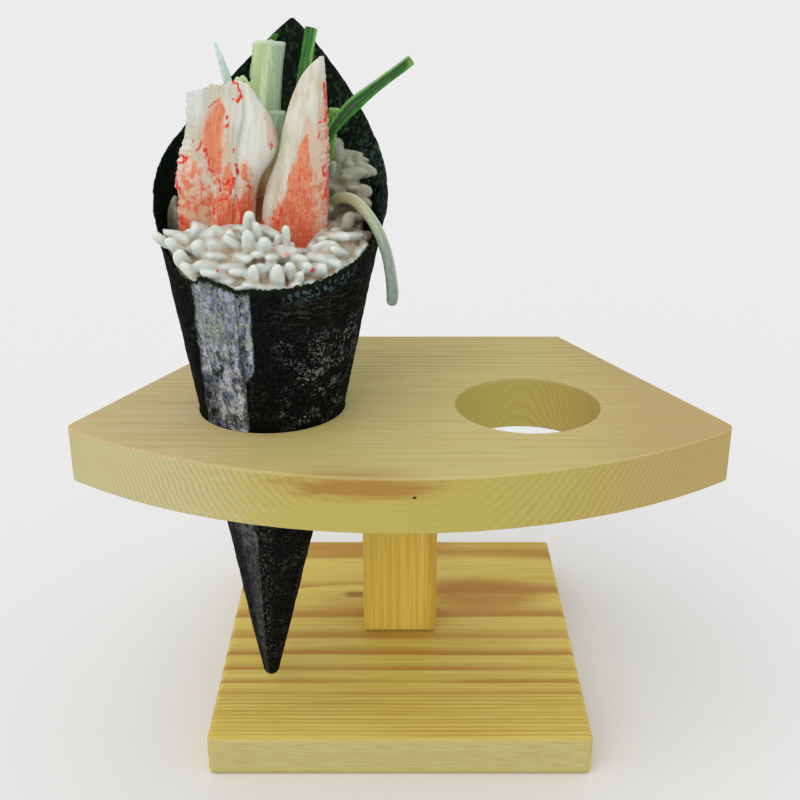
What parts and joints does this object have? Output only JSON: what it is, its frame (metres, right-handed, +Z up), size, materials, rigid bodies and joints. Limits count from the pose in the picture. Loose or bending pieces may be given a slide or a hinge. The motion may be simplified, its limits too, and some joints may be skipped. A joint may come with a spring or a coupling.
{
  "type": "temaki hand roll",
  "caption": "Hand-rolled nori cone filled with rice, crab sticks and cucumber, standing in a hole of a small wooden stand beside an empty hole.",
  "frame": {"origin": "middle of the underside of the holder's base", "axes": "+Z up; +Y towards the back of the holder, where the nori's peak stands; +X to the right seen from the front"},
  "size_m": [0.1498, 0.116, 0.1731],
  "materials": {
    "pine": "satin lacquered pine with a visible grain",
    "nori": "crisp toasted seaweed sheet, finely pitted, satin",
    "rice": "moist cooked rice, softly glossy",
    "crab_stick": "moist fibrous surimi, white with orange and red",
    "cucumber_flesh": "moist pale green cut cucumber",
    "green_peel": "moist green peel",
    "daikon": "wet translucent shred"
  },
  "bodies": {
    "root": {"holder_base": "pine", "holder_post": "pine", "holder_shelf": "pine", "nori": "nori", "rice": "rice", "crab_stick_left": "crab_stick", "crab_stick_right": "crab_stick", "cucumber_stick": "cucumber_flesh", "cucumber_stick_short": "cucumber_flesh", "green_peel_back": "green_peel", "green_peel_long": "green_peel", "green_peel_short": "green_peel", "daikon_shred": "daikon", "daikon_strand": "daikon"}
  },
  "joints": []
}
